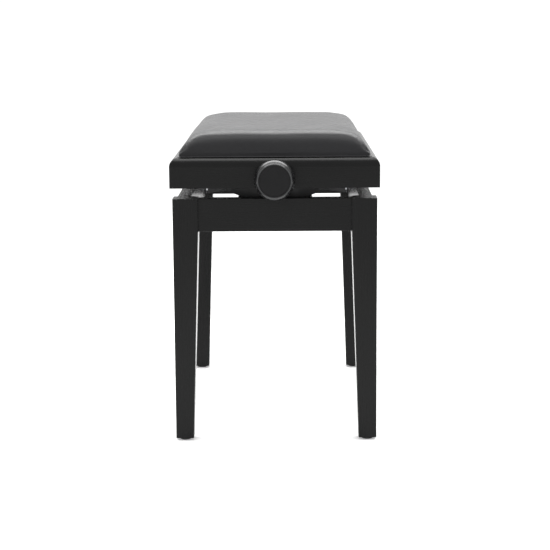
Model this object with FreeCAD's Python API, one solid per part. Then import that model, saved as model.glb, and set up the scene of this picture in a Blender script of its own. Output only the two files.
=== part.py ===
import FreeCAD, Part
import math
import os
from FreeCAD import Vector

# Height-adjustable piano bench. A scissor lift under the seat is driven by a threaded spindle
# that runs the length of the bench, with a round hand knob outside each end panel.
# Millimetres. X runs across the bench, Y along it, Z up. The origin is on the floor, under the
# middle of the seat. The bench stands at its lowest setting. Front is +X, right is +Y.

# ---- driving dimensions ---------------------------------------------------------------------
seat_width = 330.0            # seat box, outside, across the bench
seat_length = 550.0           # seat box, outside, along the bench
box_height = 48.0             # seat box, bottom edge to shoulder
panel_thickness = 20.0
box_top_roundover = 15.0
box_corner_rounding = 3.0
seat_board_thickness = 12.0

cushion_board_thickness = 9.0
cushion_board_inset = 13.0    # from the cushion's lip to the edge of the board inside it
cushion_inset = 10.0          # from the outside of the box to the cushion's lip
cushion_height = 43.0
base_setback = 2.0            # the cover turns in by this much under its lip
lip_height = 5.0
edge_rise = 33.0              # height of the cushion's rounded top edge above the box
edge_setback = 18.0           # how far that edge stands in from the lip
crown_setback = 62.0
base_corner = 8.0             # corner radii in plan, from the base up to the crown
lip_corner = 9.0
edge_corner = 16.0
crown_corner = 20.0

frame_height = 391.0          # floor to the top of the rails and legs
leg_inset = 4.0               # outer faces of the legs, inside the outer faces of the box
leg_top = 40.0                # square section beside the rails
leg_foot = 28.5               # square section at the floor
leg_rounding = 1.5
leg_corner_chamfer = 8.0      # flat on the inner corner, where the hanger bolt goes in
rail_height = 52.5
rail_thickness = 21.0
long_rail_recess = 6.0        # rail faces, behind the outer faces of the legs
short_rail_recess = 5.0
rail_rounding = 1.0

box_gap = 17.0                # leg frame to seat box, at the lowest setting
lift_travel = 90.0

glide_height = 4.0
glide_radius = 9.0
glide_rounding = 1.0
glide_recess_radius = 3.2
glide_recess_depth = 2.0
glide_nail_radius = 1.3
glide_nail_length = 18.0
glide_nail_head_radius = 3.0
glide_nail_head = 1.2

dowel_radius = 4.0
dowel_length = 36.0
dowel_spread = 27.0           # between the two dowels of a joint

# ---- lift mechanism ---------------------------------------------------------------------------
lift_half_width = 60.0        # outer faces of the steel channels
sheet = 2.5                   # channels, bearing plates and corner brackets
channel_height = 32.0
upper_channel_flange = 20.0
lower_channel_flange = 21.0
channel_end_gap = 30.0        # upper channels stop this far from the box ends, inside
lower_pivot_drop = 20.0       # lower pivots, below the top of the leg frame
spindle_rise = 14.5           # spindle and upper pivots, above the bottom of the box
pivot_setback = 57.0          # fixed pivots, from the inner face of the box end
lower_flange_drop = 19.0      # bottom of the lower channels, below the lower pivots

slot_spare = 4.0              # a slot runs on past the roller's travel at both ends
rod_reach = 4.0               # cross rods stand out past the channels

arm_thickness = 4.0
arm_half_height = 11.0
arm_side_gap = 1.0            # channel to outer arm
arm_gap = 1.5                 # outer arm to inner arm
tie_radius = 7.0
tie_wall = 1.5
tie_distance = 60.0           # tie tube, along the arm from its lower pivot

pivot_radius = 5.0
centre_pivot_radius = 4.0
running = 0.05                # radial clearance of a pin or shaft that turns in its hole
apart = 0.3                   # gap between faces that move past each other
fastener_clearance = 0.1
roller_radius = 7.0
roller_play = 0.3
washer_thickness = 1.2
nut_thickness = 6.0
small_nut = 13.0              # across flats
large_nut = 16.0
bolt_end = 2.0                # bolt thread showing past its nut
spacer_wall = 1.5
hole_spare = 1.0              # a screw hole is this much deeper than its screw
head_thickness = 4.0
head_radius = 8.0
clip_thickness = 1.0
clip_radius = 8.5

screw_radius = 2.0
screw_head_radius = 4.0
screw_head_height = 2.5
bracket_screw_length = 16.0
tab_screw_length = 18.0       # lower channels to the short rails
tab_screw_spread = 16.0
flange_screw_length = 9.0     # into the seat board, past the flange
flange_screw_inset = 20.0     # from the end of an upper channel or bearing plate
flange_screw_share = 0.34     # inner screws of a channel, as a share of the way to the outer ones
cleat_screw_length = 22.0
cleat_screw_inset = 25.0
cushion_screw_length = 19.0

spindle_radius = 6.0
spindle_end_radius = 5.0
spindle_flat = 1.5            # depth of the flat that drives the knob
thread_pitch = 3.0
thread_depth = 1.5
thread_length = 78.0
thread_land = 0.35            # flat bottom of a groove, as a share of the pitch
thread_slope = 0.15           # each sloping side of a groove, the same way
thread_run_out = 2.0          # thread showing outside the nut at the lowest setting
spindle_body_stop = 2.0       # full diameter stops this far inside the box ends
crossbar_size = 24.0
crossbar_chamfer = 1.0
spindle_nut_radius = 8.5
spindle_nut_flange_radius = 11.0
spindle_nut_flange = 3.0
bush_radius = 8.0
bush_flange_radius = 11.0
bush_flange = 2.0
bush_stand_out = 1.5          # past the outer face of its bearing plate
collar_radius = 12.0
collar_length = 10.0
collar_screw_radius = 2.0
panel_hole_radius = 8.5

bearing_plate_offset = 13.0   # bearing plate, from the inner face of the box end
bearing_plate_half_width = 70.0
bearing_plate_toe_half_width = 48.0
bearing_plate_toe_drop = 18.5  # toe of the bearing plate, below the bottom of the box
bearing_plate_shoulder_drop = 10.2
bearing_flange = 11.5

knob_gap = 2.3                # box end to the back of the knob
knob_length = 34.0
knob_radius = 31.8
knob_rim_radius = 26.4
knob_wall = 3.0
knob_widest_share = 0.55      # widest place, as a share of the length from the back
knob_shoulder_share = 0.82    # middle of the rounded shoulder, the same way
knob_shoulder_drop = 0.32     # its share of the fall from the widest place to the rim
knob_back_inset = 3.0         # the back edge stands in from the widest place, with a small bevel
knob_back_bevel = 2.0
knob_draft = 1.0
knob_hollow_draft = 1.5
knob_hub_radius = 9.5
knob_cap_radius = 24.4
knob_cap_thickness = 3.0
knob_cap_recess = 0.7
knob_cap_rounding = 0.6
knob_screw_radius = 2.5
knob_screw_head_radius = 4.8
knob_screw_head_height = 3.0
knob_screw_length = 16.0
knob_counterbore_radius = 6.5
knob_washer_radius = 15.0
knob_washer_thickness = 1.5

bracket_corner_distance = 10.0  # corner bracket, across both axes, inside the leg's inner corner
bracket_flange = 16.0
bracket_height = 40.0
hanger_radius = 4.0
hanger_in_leg = 32.0
corner_block_size = 25.0
corner_block_rise = 4.0       # from the bottom of the box
cleat_size = 15.0
cleat_end_gap = 40.0

past = 1.0                    # a cutting shape runs on this far past what it cuts
near = 0.1                    # how closely an edge is looked for by its place

# ---- places worked out from the dimensions -----------------------------------------------------
box_half_width = seat_width / 2
box_half_length = seat_length / 2
inner_half_width = box_half_width - panel_thickness
inner_half_length = box_half_length - panel_thickness
leg_outer_x = box_half_width - leg_inset
leg_outer_y = box_half_length - leg_inset
leg_inner_x = leg_outer_x - leg_top
leg_inner_y = leg_outer_y - leg_top
rail_bottom = frame_height - rail_height
long_rail_outer = leg_outer_x - long_rail_recess
long_rail_inner = long_rail_outer - rail_thickness
short_rail_outer = leg_outer_y - short_rail_recess
short_rail_inner = short_rail_outer - rail_thickness

box_bottom = frame_height + box_gap
box_top = box_bottom + box_height
board_bottom = box_top - seat_board_thickness
flange_z = board_bottom - sheet

lower_pivot_z = frame_height - lower_pivot_drop
upper_pivot_z = box_bottom + spindle_rise
pivot_y = inner_half_length - pivot_setback
rest_rise = upper_pivot_z - lower_pivot_z
arm_length = math.hypot(2 * pivot_y, rest_rise)
rest_angle = math.atan2(rest_rise, 2 * pivot_y)
top_angle = math.asin((rest_rise + lift_travel) / arm_length)
slide_travel = arm_length * (math.cos(rest_angle) - math.cos(top_angle))
centre_pivot_z = (lower_pivot_z + upper_pivot_z) / 2

web_inner = lift_half_width - sheet
outer_arm_x = web_inner - arm_side_gap - arm_thickness      # inner face of an outer arm
inner_arm_x = outer_arm_x - arm_gap - arm_thickness         # inner face of an inner arm
bearing_y = inner_half_length - bearing_plate_offset        # outer face of a bearing plate
knob_back = box_half_length + knob_gap
knob_front = knob_back + knob_length
spindle_end = knob_front - knob_cap_recess - knob_cap_thickness - knob_screw_head_height - hole_spare

UP = Vector(0, 0, 1)
ENDS = {"left": -1, "right": 1}
SIDES = {"front": 1, "rear": -1}


# ---- shapes used throughout --------------------------------------------------------------------
def block(x, y, z):
    """A box between the low and high ends given for each axis."""
    return Part.makeBox(x[1] - x[0], y[1] - y[0], z[1] - z[0], Vector(x[0], y[0], z[0]))


def rod(radius, start, end):
    return Part.makeCylinder(radius, (end - start).Length, start, end - start)


def tube(outer_radius, inner_radius, start, end):
    return rod(outer_radius, start, end).cut(rod(inner_radius, start, end))


def prism(points, direction):
    """A flat polygon pushed along a direction."""
    return Part.Face(Part.makePolygon(points + [points[0]])).extrude(direction)


def turned(points, centre, axis):
    """A profile of (radius, distance along the axis) pairs, turned about the axis through centre."""
    across = Vector(0, 0, 1)
    corners = [centre + across * radius + axis * along for radius, along in points]
    face = Part.Face(Part.makePolygon(corners + [corners[0]]))
    return face.revolve(centre, axis, 360)


def hexagon(across_flats, start, end):
    """A hexagonal bar between two points, for nuts."""
    axis = (end - start).normalize()
    side = axis.cross(Vector(0, 0, 1)).normalize()
    up = axis.cross(side)
    corner = across_flats / math.sqrt(3)
    angles = [math.radians(60 * k) for k in range(6)]
    points = [start + side * corner * math.cos(a) + up * corner * math.sin(a) for a in angles]
    return prism(points, end - start)


def mirrored(shape, x_side=1, y_side=1):
    """The shape built for the +X +Y quarter, carried to the side of each sign."""
    if x_side < 0:
        shape = shape.mirror(Vector(0, 0, 0), Vector(1, 0, 0))
    if y_side < 0:
        shape = shape.mirror(Vector(0, 0, 0), Vector(0, 1, 0))
    return shape


def four_corners(shape):
    return [mirrored(shape, x_side, y_side) for x_side in (1, -1) for y_side in (1, -1)]


def screw(seat, direction, length):
    """A pan-head screw: seat is where the head sits, direction is the way the screw goes in."""
    head = rod(screw_head_radius, seat - direction * screw_head_height, seat)
    tip_length = 2 * screw_radius
    tip_start = seat + direction * (length - tip_length)
    shank = rod(screw_radius, seat, tip_start)
    tip = Part.makeCone(screw_radius, screw_radius / 2, tip_length, tip_start, direction)
    return head.fuse(shank).fuse(tip).removeSplitter()


def screw_hole(seat, direction, length):
    """The hole that the same screw needs through everything it fastens."""
    return rod(screw_radius + fastener_clearance, seat - direction * sheet, seat + direction * length)


parts = {}


def node(name, *shapes):
    """Keeps the solids of one named piece, or of one group of like pieces."""
    parts[name] = [solid for shape in shapes for solid in shape.Solids]


# ---- leg frame ---------------------------------------------------------------------------------
def corner_bracket_line():
    """Where the slanted web of a corner bracket meets the short rail and the long rail."""
    total = leg_inner_x + leg_inner_y - bracket_corner_distance
    on_short = Vector(total - short_rail_inner, short_rail_inner, 0)
    on_long = Vector(long_rail_inner, total - long_rail_inner, 0)
    return on_short, on_long


def hanger_line():
    """The seat of the hanger bolt on the leg's chamfer, and the way it goes into the leg."""
    middle_z = (rail_bottom + frame_height) / 2
    half = leg_corner_chamfer / 2
    return Vector(leg_inner_x + half, leg_inner_y + half, middle_z), Vector(1, 1, 0).normalize()


def dowel_lines():
    """Both ends of each dowel of the +X +Y corner."""
    middle_z = (rail_bottom + frame_height) / 2
    lines = []
    for z in (middle_z - dowel_spread / 2, middle_z + dowel_spread / 2):
        x = (long_rail_inner + long_rail_outer) / 2
        y = (short_rail_inner + short_rail_outer) / 2
        half = dowel_length / 2
        lines.append((Vector(x, leg_inner_y - half, z), Vector(x, leg_inner_y + half, z)))
        lines.append((Vector(leg_inner_x - half, y, z), Vector(leg_inner_x + half, y, z)))
    return lines


def dowel_holes():
    return [rod(dowel_radius + fastener_clearance, start, end) for start, end in dowel_lines()]


def glide_centre():
    return Vector(leg_outer_x - leg_foot / 2, leg_outer_y - leg_foot / 2, 0)


def leg():
    """The +X +Y leg: square beside the rails, tapered below them on its two inner faces."""
    body = block((leg_inner_x, leg_outer_x), (leg_inner_y, leg_outer_y), (glide_height, frame_height))
    taper = leg_top - leg_foot
    below = [Vector(0, 0, rail_bottom), Vector(taper, 0, glide_height), Vector(0, 0, glide_height)]
    across_x = prism([point + Vector(leg_inner_x, leg_inner_y, 0) for point in below], Vector(0, leg_top, 0))
    turned_points = [Vector(point.y, point.x, point.z) for point in below]
    across_y = prism([point + Vector(leg_inner_x, leg_inner_y, 0) for point in turned_points],
                     Vector(leg_top, 0, 0))
    body = body.cut(across_x).cut(across_y)
    outer_edges = [
        edge for edge in body.Edges
        if edge.BoundBox.ZLength > rail_height / 2
        and not (edge.BoundBox.XMin < leg_inner_x + near and edge.BoundBox.YMin < leg_inner_y + near)
    ]
    body = body.makeFillet(leg_rounding, outer_edges)
    flat = leg_corner_chamfer
    corner = [Vector(leg_inner_x, leg_inner_y, 0), Vector(leg_inner_x + flat, leg_inner_y, 0),
              Vector(leg_inner_x, leg_inner_y + flat, 0)]
    corner = [point + Vector(0, 0, rail_bottom) for point in corner]
    body = body.cut(prism(corner, Vector(0, 0, rail_height)))
    seat, inward = hanger_line()
    body = body.cut(rod(hanger_radius + fastener_clearance, seat - inward, seat + inward * hanger_in_leg))
    foot = glide_centre() + Vector(0, 0, glide_height)
    nail_hole = rod(glide_nail_radius + fastener_clearance, foot, foot + Vector(0, 0, glide_nail_length))
    return body.cut(nail_hole).cut(dowel_holes())


def rounded_bar(bar, along):
    """A bar with its four long edges rounded."""
    edges = [edge for edge in bar.Edges if abs(edge.tangentAt(edge.FirstParameter).dot(along)) > 1 - near]
    return bar.makeFillet(rail_rounding, edges)


def bracket_screws():
    """Seats and directions of the four screws of the +X +Y corner bracket."""
    on_short, on_long = corner_bracket_line()
    middle_z = (rail_bottom + frame_height) / 2
    places = []
    for z in (middle_z - bracket_height / 4, middle_z + bracket_height / 4):
        x = on_short.x - bracket_flange / 2
        y = on_long.y - bracket_flange / 2
        places.append((Vector(x, short_rail_inner - sheet, z), Vector(0, 1, 0)))
        places.append((Vector(long_rail_inner - sheet, y, z), Vector(1, 0, 0)))
    return places


def channel_end_screws():
    """Seats and directions of the two screws in the front channel's tab at the right-hand end."""
    x = web_inner - lower_channel_flange / 2
    z = lower_pivot_z - lower_flange_drop + channel_height / 2
    half = tab_screw_spread / 2
    return [(Vector(x, short_rail_inner - sheet, z + rise), Vector(0, 1, 0)) for rise in (-half, half)]


def all_four(places):
    """Seats and directions mirrored to all four corners."""
    return [(Vector(seat.x * sx, seat.y * sy, seat.z), Vector(way.x * sx, way.y * sy, way.z))
            for seat, way in places for sx in (1, -1) for sy in (1, -1)]


def long_rail():
    """The front rail, between the two front legs."""
    bar = block((long_rail_inner, long_rail_outer), (-leg_inner_y, leg_inner_y),
                (rail_bottom, frame_height))
    bar = rounded_bar(bar, Vector(0, 1, 0))
    holes = [screw_hole(seat, way, bracket_screw_length) for seat, way in all_four(bracket_screws())]
    for side in (1, -1):
        holes += [mirrored(hole, 1, side) for hole in dowel_holes()]
    return bar.cut(holes)


def short_rail():
    """The right-hand rail, between the two legs of that end."""
    bar = block((-leg_inner_x, leg_inner_x), (short_rail_inner, short_rail_outer),
                (rail_bottom, frame_height))
    bar = rounded_bar(bar, Vector(1, 0, 0))
    holes = [screw_hole(seat, way, bracket_screw_length) for seat, way in all_four(bracket_screws())]
    holes += [screw_hole(seat, way, tab_screw_length) for seat, way in all_four(channel_end_screws())]
    for side in (1, -1):
        holes += [mirrored(hole, side, 1) for hole in dowel_holes()]
    return bar.cut(holes)


def corner_bracket():
    """Folded steel plate across the +X +Y corner, with a flange on each rail."""
    on_short, on_long = corner_bracket_line()
    fold = sheet * math.tan(math.radians(22.5))
    outline = [
        on_short - Vector(bracket_flange, 0, 0), on_short, on_long, on_long - Vector(0, bracket_flange, 0),
        on_long - Vector(sheet, bracket_flange, 0), on_long - Vector(sheet, fold, 0),
        on_short - Vector(fold, sheet, 0), on_short - Vector(bracket_flange, sheet, 0),
    ]
    bottom = (rail_bottom + frame_height - bracket_height) / 2
    plate = prism([point + Vector(0, 0, bottom) for point in outline], Vector(0, 0, bracket_height))
    seat, inward = hanger_line()
    plate = plate.cut(rod(hanger_radius + fastener_clearance, seat - inward * bracket_height, seat))
    return plate.cut([screw_hole(place, way, bracket_screw_length) for place, way in bracket_screws()])


def hanger_set():
    """The hanger bolt of the +X +Y corner with its washer and nut."""
    on_short, on_long = corner_bracket_line()
    seat, inward = hanger_line()
    to_web = (seat.x + seat.y - on_long.x - on_long.y) / math.sqrt(2)
    face = seat - inward * (to_web + sheet)
    nut_face = face - inward * washer_thickness
    nut_end = nut_face - inward * nut_thickness
    hole = hanger_radius + fastener_clearance
    washer = tube(head_radius, hole, nut_face, face)
    nut = hexagon(small_nut, nut_end, nut_face).cut(rod(hole, nut_end, nut_face))
    bolt = rod(hanger_radius, nut_end - inward * bolt_end, seat + inward * (hanger_in_leg - hole_spare))
    return bolt, washer, nut


def foot_glide():
    centre = glide_centre()
    top = centre + Vector(0, 0, glide_height)
    disc = rod(glide_radius, centre, top)
    lower_edges = [edge for edge in disc.Edges if edge.BoundBox.ZMax < glide_height / 2]
    disc = disc.makeFillet(glide_rounding, lower_edges)
    recess = rod(glide_recess_radius, centre, centre + UP * glide_recess_depth)
    hole = rod(glide_nail_radius + fastener_clearance, centre, top)
    return disc.cut(recess).cut(hole)


def glide_nail():
    seat = glide_centre() + UP * glide_recess_depth
    head = rod(glide_nail_head_radius, seat - UP * glide_nail_head, seat)
    return head.fuse(rod(glide_nail_radius, seat, seat + UP * glide_nail_length)).removeSplitter()


def build_leg_frame():
    quarter_leg = leg()
    for side, x_side in SIDES.items():
        for end, y_side in ENDS.items():
            node(f"leg_{side}_{end}", mirrored(quarter_leg, x_side, y_side))
        node(f"long_rail_{side}", mirrored(long_rail(), x_side, 1))
    for end, y_side in ENDS.items():
        node(f"short_rail_{end}", mirrored(short_rail(), 1, y_side))
    node("frame_dowels", *[copy for start, end in dowel_lines()
                           for copy in four_corners(rod(dowel_radius, start, end))])
    node("corner_brackets", *four_corners(corner_bracket()))
    node("corner_bracket_screws", *[screw(seat, way, bracket_screw_length - hole_spare)
                                    for seat, way in all_four(bracket_screws())])
    node("hanger_bolts_and_nuts", *[copy for piece in hanger_set() for copy in four_corners(piece)])
    node("foot_glides", *four_corners(foot_glide()))
    node("glide_nails", *four_corners(glide_nail()))


# ---- lower half of the lift --------------------------------------------------------------------
def slot(x, centre_z, inner_y, outer_y):
    """A round-ended slot along Y, cut right through a web, for a roller."""
    half = roller_radius + roller_play
    middle = block(x, (inner_y, outer_y), (centre_z - half, centre_z + half))
    ends = [rod(half, Vector(x[0], y, centre_z), Vector(x[1], y, centre_z)) for y in (inner_y, outer_y)]
    return middle.fuse(ends).removeSplitter()


def slot_ends():
    """Roller centres at the two ends of its slot, a little past the travel."""
    return pivot_y - slide_travel - slot_spare, pivot_y + slot_spare


def lower_channel():
    """The front lower channel: a web, a flange turned in below it and a tab at each end."""
    bottom = lower_pivot_z - lower_flange_drop
    top = bottom + channel_height
    half_length = short_rail_inner
    inner_edge = web_inner - lower_channel_flange
    web = block((web_inner, lift_half_width), (-half_length, half_length), (bottom, top))
    flange = block((inner_edge, web_inner), (-half_length, half_length), (bottom, bottom + sheet))
    tab = block((inner_edge, web_inner), (half_length - sheet, half_length), (bottom, top))
    body = web.fuse([flange, tab, mirrored(tab, 1, -1)]).removeSplitter()
    x = (web_inner - past, lift_half_width + past)
    pivot = Vector(x[0], -pivot_y, lower_pivot_z)
    body = body.cut(rod(pivot_radius + running, pivot, Vector(x[1], pivot.y, pivot.z)))
    body = body.cut(slot(x, lower_pivot_z, *slot_ends()))
    return body.cut([screw_hole(seat, way, sheet) for seat, way in all_four(channel_end_screws())])


def cross_rod(y, z):
    """A rod right across the lift, through both sides."""
    reach = lift_half_width + rod_reach
    return rod(pivot_radius, Vector(-reach, y, z), Vector(reach, y, z))


def pair(shape):
    """A shape on the front side of the lift, and its mirror on the rear side."""
    return [shape, mirrored(shape, -1, 1)]


def ring(outer_radius, hole_radius, x, y, z):
    """A washer, clip or spacer around a line along X."""
    return tube(outer_radius, hole_radius, Vector(x[0], y, z), Vector(x[1], y, z))


def build_lower_lift():
    for side, x_side in SIDES.items():
        node(f"lower_channel_{side}", mirrored(lower_channel(), x_side, 1))
    node("channel_end_screws", *[screw(seat, way, tab_screw_length - hole_spare)
                                 for seat, way in all_four(channel_end_screws())])
    node("lower_pivot_rod", cross_rod(-pivot_y, lower_pivot_z))
    hole = pivot_radius + running
    outside = (lift_half_width + apart, lift_half_width + apart + clip_thickness)
    inside = (outer_arm_x - apart - clip_thickness, outer_arm_x - apart)
    washer = (web_inner - arm_side_gap + apart, web_inner)
    node("lower_pivot_clips", *[clip for x in (outside, inside, washer)
                                for clip in pair(ring(clip_radius, hole, x, -pivot_y, lower_pivot_z))])


# ---- scissor arms ------------------------------------------------------------------------------
def arm(inner_x, low_end_y, hole_radii, tie_hole):
    """A flat bar with round ends and three pivot holes. Its low end is at low_end_y, and it rises
    to the upper pivot height at the other end. The holes are at the low end, middle and high end."""
    low = Vector(inner_x, low_end_y, lower_pivot_z)
    high = Vector(inner_x, -low_end_y, upper_pivot_z)
    along = (high - low).normalize()
    up = along.cross(Vector(1, 0, 0)).normalize() * arm_half_height
    thick = Vector(arm_thickness, 0, 0)
    body = prism([low + up, high + up, high - up, low - up], thick)
    body = body.fuse([rod(arm_half_height, end, end + thick) for end in (low, high)]).removeSplitter()
    for place, radius in zip((low, (low + high) * 0.5, high), hole_radii):
        body = body.cut(rod(radius, place, place + thick))
    tie_place = low + along * tie_distance
    return body.cut(rod(tie_hole, tie_place, tie_place + thick))


def tie_tube(reach, low_end_y):
    """The tube that joins the two arms of a pair, let into a hole in each."""
    low = Vector(0, low_end_y, lower_pivot_z)
    high = Vector(0, -low_end_y, upper_pivot_z)
    place = low + (high - low).normalize() * tie_distance
    across = Vector(reach, 0, 0)
    return tube(tie_radius, tie_radius - tie_wall, place - across, place + across)


def shouldered_bolt(radius, end_x, head_x, y, z):
    """A bolt along X with a round head whose inner face is at head_x."""
    head = rod(head_radius, Vector(head_x, y, z), Vector(head_x + head_thickness, y, z))
    return rod(radius, Vector(end_x, y, z), Vector(head_x, y, z)).fuse(head).removeSplitter()


def lock_nut(across_flats, hole_radius, inner_x, outer_x, y, z):
    start, end = Vector(inner_x, y, z), Vector(outer_x, y, z)
    return hexagon(across_flats, start, end).cut(rod(hole_radius, start, end))


def build_outer_arms():
    pin = pivot_radius + running
    middle = centre_pivot_radius + running
    tie_hole = tie_radius + fastener_clearance
    bar = arm(outer_arm_x, -pivot_y, (pin, middle, pin), tie_hole)
    for side, x_side in SIDES.items():
        node(f"outer_arm_{side}", mirrored(bar, x_side, 1))
    node("outer_arm_tie", tie_tube(outer_arm_x + arm_thickness, -pivot_y))
    outer_face = outer_arm_x + arm_thickness
    nut_outer = inner_arm_x - apart - washer_thickness
    nut_inner = nut_outer - nut_thickness
    bolt = shouldered_bolt(centre_pivot_radius, nut_inner - bolt_end, outer_face, 0, centre_pivot_z)
    nut = lock_nut(small_nut, middle, nut_inner, nut_outer, 0, centre_pivot_z)
    between = (outer_arm_x - arm_gap + apart, outer_arm_x)
    behind = (nut_outer, nut_outer + washer_thickness)
    washers = [ring(head_radius, middle, x, 0, centre_pivot_z) for x in (between, behind)]
    node("centre_pivot_bolts_and_nuts", *[copy for piece in [bolt, nut] + washers for copy in pair(piece)])


def roller(y, z):
    """A nylon roller that runs in a channel's slot."""
    return ring(roller_radius, pivot_radius + running, (web_inner - apart, lift_half_width + apart), y, z)


def roller_clip(y, z):
    x = (lift_half_width + 2 * apart, lift_half_width + 2 * apart + clip_thickness)
    return ring(clip_radius, pivot_radius + running, x, y, z)


def build_inner_arms():
    pin = pivot_radius + running
    middle = centre_pivot_radius + running
    tie_hole = tie_radius + fastener_clearance
    bar = arm(inner_arm_x, pivot_y, (pin, middle, pin), tie_hole)
    for side, x_side in SIDES.items():
        node(f"inner_arm_{side}", mirrored(bar, x_side, 1))
    node("inner_arm_tie", tie_tube(inner_arm_x + arm_thickness, pivot_y))
    node("lower_slide_rod", cross_rod(pivot_y, lower_pivot_z))
    node("lower_rollers", *pair(roller(pivot_y, lower_pivot_z)))
    between = (inner_arm_x + arm_thickness, web_inner - apart)
    spacer = ring(pivot_radius + spacer_wall, pin, between, pivot_y, lower_pivot_z)
    node("lower_slide_clips", *pair(spacer), *pair(roller_clip(pivot_y, lower_pivot_z)))


# ---- spindle nut and its crossbar --------------------------------------------------------------
def crossbar():
    """The bar that the spindle pulls, with a turned trunnion at each end for the outer arms."""
    half = crossbar_size / 2
    reach = outer_arm_x - apart
    z = upper_pivot_z
    bar = block((-reach, reach), (pivot_y - half, pivot_y + half), (z - half, z + half))
    bar = bar.makeChamfer(crossbar_chamfer, [edge for edge in bar.Edges if edge.BoundBox.XLength > reach])
    bar = bar.fuse(cross_rod(pivot_y, z)).removeSplitter()
    inner_face = Vector(0, pivot_y - half, z)
    outer_face = Vector(0, pivot_y + half, z)
    return bar.cut(rod(spindle_nut_radius + fastener_clearance, inner_face, outer_face))


def spindle_nut():
    """The brass nut pressed into the crossbar from its outer face, with a flange."""
    half = crossbar_size / 2
    start = Vector(0, pivot_y - half, upper_pivot_z)
    face = Vector(0, pivot_y + half, upper_pivot_z)
    flange_end = face + Vector(0, spindle_nut_flange, 0)
    body = rod(spindle_nut_radius, start, face).fuse(rod(spindle_nut_flange_radius, face, flange_end))
    return body.cut(rod(spindle_radius + running, start, flange_end)).removeSplitter()


def build_crossbar():
    node("spindle_crossbar", crossbar())
    node("spindle_nut", spindle_nut())
    node("upper_rollers", *pair(roller(pivot_y, upper_pivot_z)))
    node("upper_roller_clips", *pair(roller_clip(pivot_y, upper_pivot_z)))


# ---- seat box ----------------------------------------------------------------------------------
def box_outline():
    """The outside of the seat box with its four upright corners rounded."""
    body = block((-box_half_width, box_half_width), (-box_half_length, box_half_length),
                 (box_bottom, box_top))
    uprights = [edge for edge in body.Edges if edge.BoundBox.ZLength > box_height / 2]
    return body.makeFillet(box_corner_rounding, uprights)


def moulding(half_span, outer, along):
    """A rail of the box before its mitres are cut: a bar with its top outer edge rounded over."""
    inner = outer - panel_thickness
    if along == "y":
        bar = block((inner, outer), (-half_span, half_span), (box_bottom, box_top))
        edges = [edge for edge in bar.Edges if edge.BoundBox.YLength > half_span
                 and edge.BoundBox.XMin > outer - near and edge.BoundBox.ZMin > box_top - near]
    else:
        bar = block((-half_span, half_span), (inner, outer), (box_bottom, box_top))
        edges = [edge for edge in bar.Edges if edge.BoundBox.XLength > half_span
                 and edge.BoundBox.YMin > outer - near and edge.BoundBox.ZMin > box_top - near]
    return bar.makeFillet(min(box_top_roundover, panel_thickness - past), edges)


def mitre_wedge(along):
    """The part of plan view that a side or an end of the box fills, between its two mitres."""
    reach = panel_thickness + past
    x_out, y_out = box_half_width + past, box_half_length + past
    x_in, y_in = x_out - reach, y_out - reach
    if along == "y":
        points = [(x_in, -y_in), (x_out, -y_out), (x_out, y_out), (x_in, y_in)]
    else:
        points = [(-x_in, y_in), (-x_out, y_out), (x_out, y_out), (x_in, y_in)]
    return prism([Vector(x, y, box_bottom) for x, y in points], Vector(0, 0, box_height))


def box_side():
    return moulding(box_half_length, box_half_width, "y").common(mitre_wedge("y")).common(box_outline())


def box_end():
    """The right-hand end panel, with the clearance hole for the spindle."""
    panel = moulding(box_half_width, box_half_length, "x").common(mitre_wedge("x")).common(box_outline())
    start = Vector(0, inner_half_length - past, upper_pivot_z)
    end = Vector(0, box_half_length + past, upper_pivot_z)
    return panel.cut(rod(panel_hole_radius, start, end))


def corner_block():
    """A three-cornered glue block inside the +X +Y corner of the box."""
    size = corner_block_size
    points = [(0, 0), (-size, 0), (0, -size)]
    corner = Vector(inner_half_width, inner_half_length, box_bottom + corner_block_rise)
    height = board_bottom - corner.z
    return prism([corner + Vector(x, y, 0) for x, y in points], Vector(0, 0, height))


def cleat():
    """The strip that carries the front edge of the seat board."""
    half = inner_half_length - cleat_end_gap
    return block((inner_half_width - cleat_size, inner_half_width), (-half, half),
                 (board_bottom - cleat_size, board_bottom))


def cleat_screw_places():
    """Seats and directions of the screws that go up through both cleats into the seat board."""
    x = inner_half_width - cleat_size / 2
    spread = inner_half_length - cleat_end_gap - cleat_screw_inset
    return [(Vector(x * side, y, board_bottom - cleat_size), UP)
            for side in (1, -1) for y in (-spread, 0, spread)]


def cushion_screw_places():
    """Seats and directions of the screws that hold the cushion's board down on the seat board."""
    x = (lift_half_width + upper_channel_flange + inner_half_width - cleat_size) / 2
    y = inner_half_length - 2 * cleat_end_gap
    return [(Vector(x * side, y * end, board_bottom), UP) for side in (1, -1) for end in (1, -1)]


def channel_screw_places():
    """Seats and directions of the screws in the flanges of both upper channels."""
    x = lift_half_width + upper_channel_flange / 2
    half = inner_half_length - channel_end_gap - flange_screw_inset
    shares = (-1, -flange_screw_share, flange_screw_share, 1)
    return [(Vector(x * side, half * share, flange_z), UP) for side in (1, -1) for share in shares]


def bearing_screw_places():
    """Seats and directions of the screws in the flanges of both bearing plates."""
    x = bearing_plate_half_width - flange_screw_inset
    y = bearing_y - sheet - bearing_flange / 2
    return [(Vector(x * side, y * end, flange_z), UP) for side in (1, -1) for end in (1, -1)]


def seat_board():
    board = block((-inner_half_width, inner_half_width), (-inner_half_length, inner_half_length),
                  (board_bottom, box_top))
    holes = [screw_hole(seat, way, cleat_screw_length) for seat, way in cleat_screw_places()]
    holes += [screw_hole(seat, way, cushion_screw_length) for seat, way in cushion_screw_places()]
    holes += [screw_hole(seat, way, sheet + flange_screw_length)
              for seat, way in channel_screw_places() + bearing_screw_places()]
    return board.cut(holes)


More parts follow.
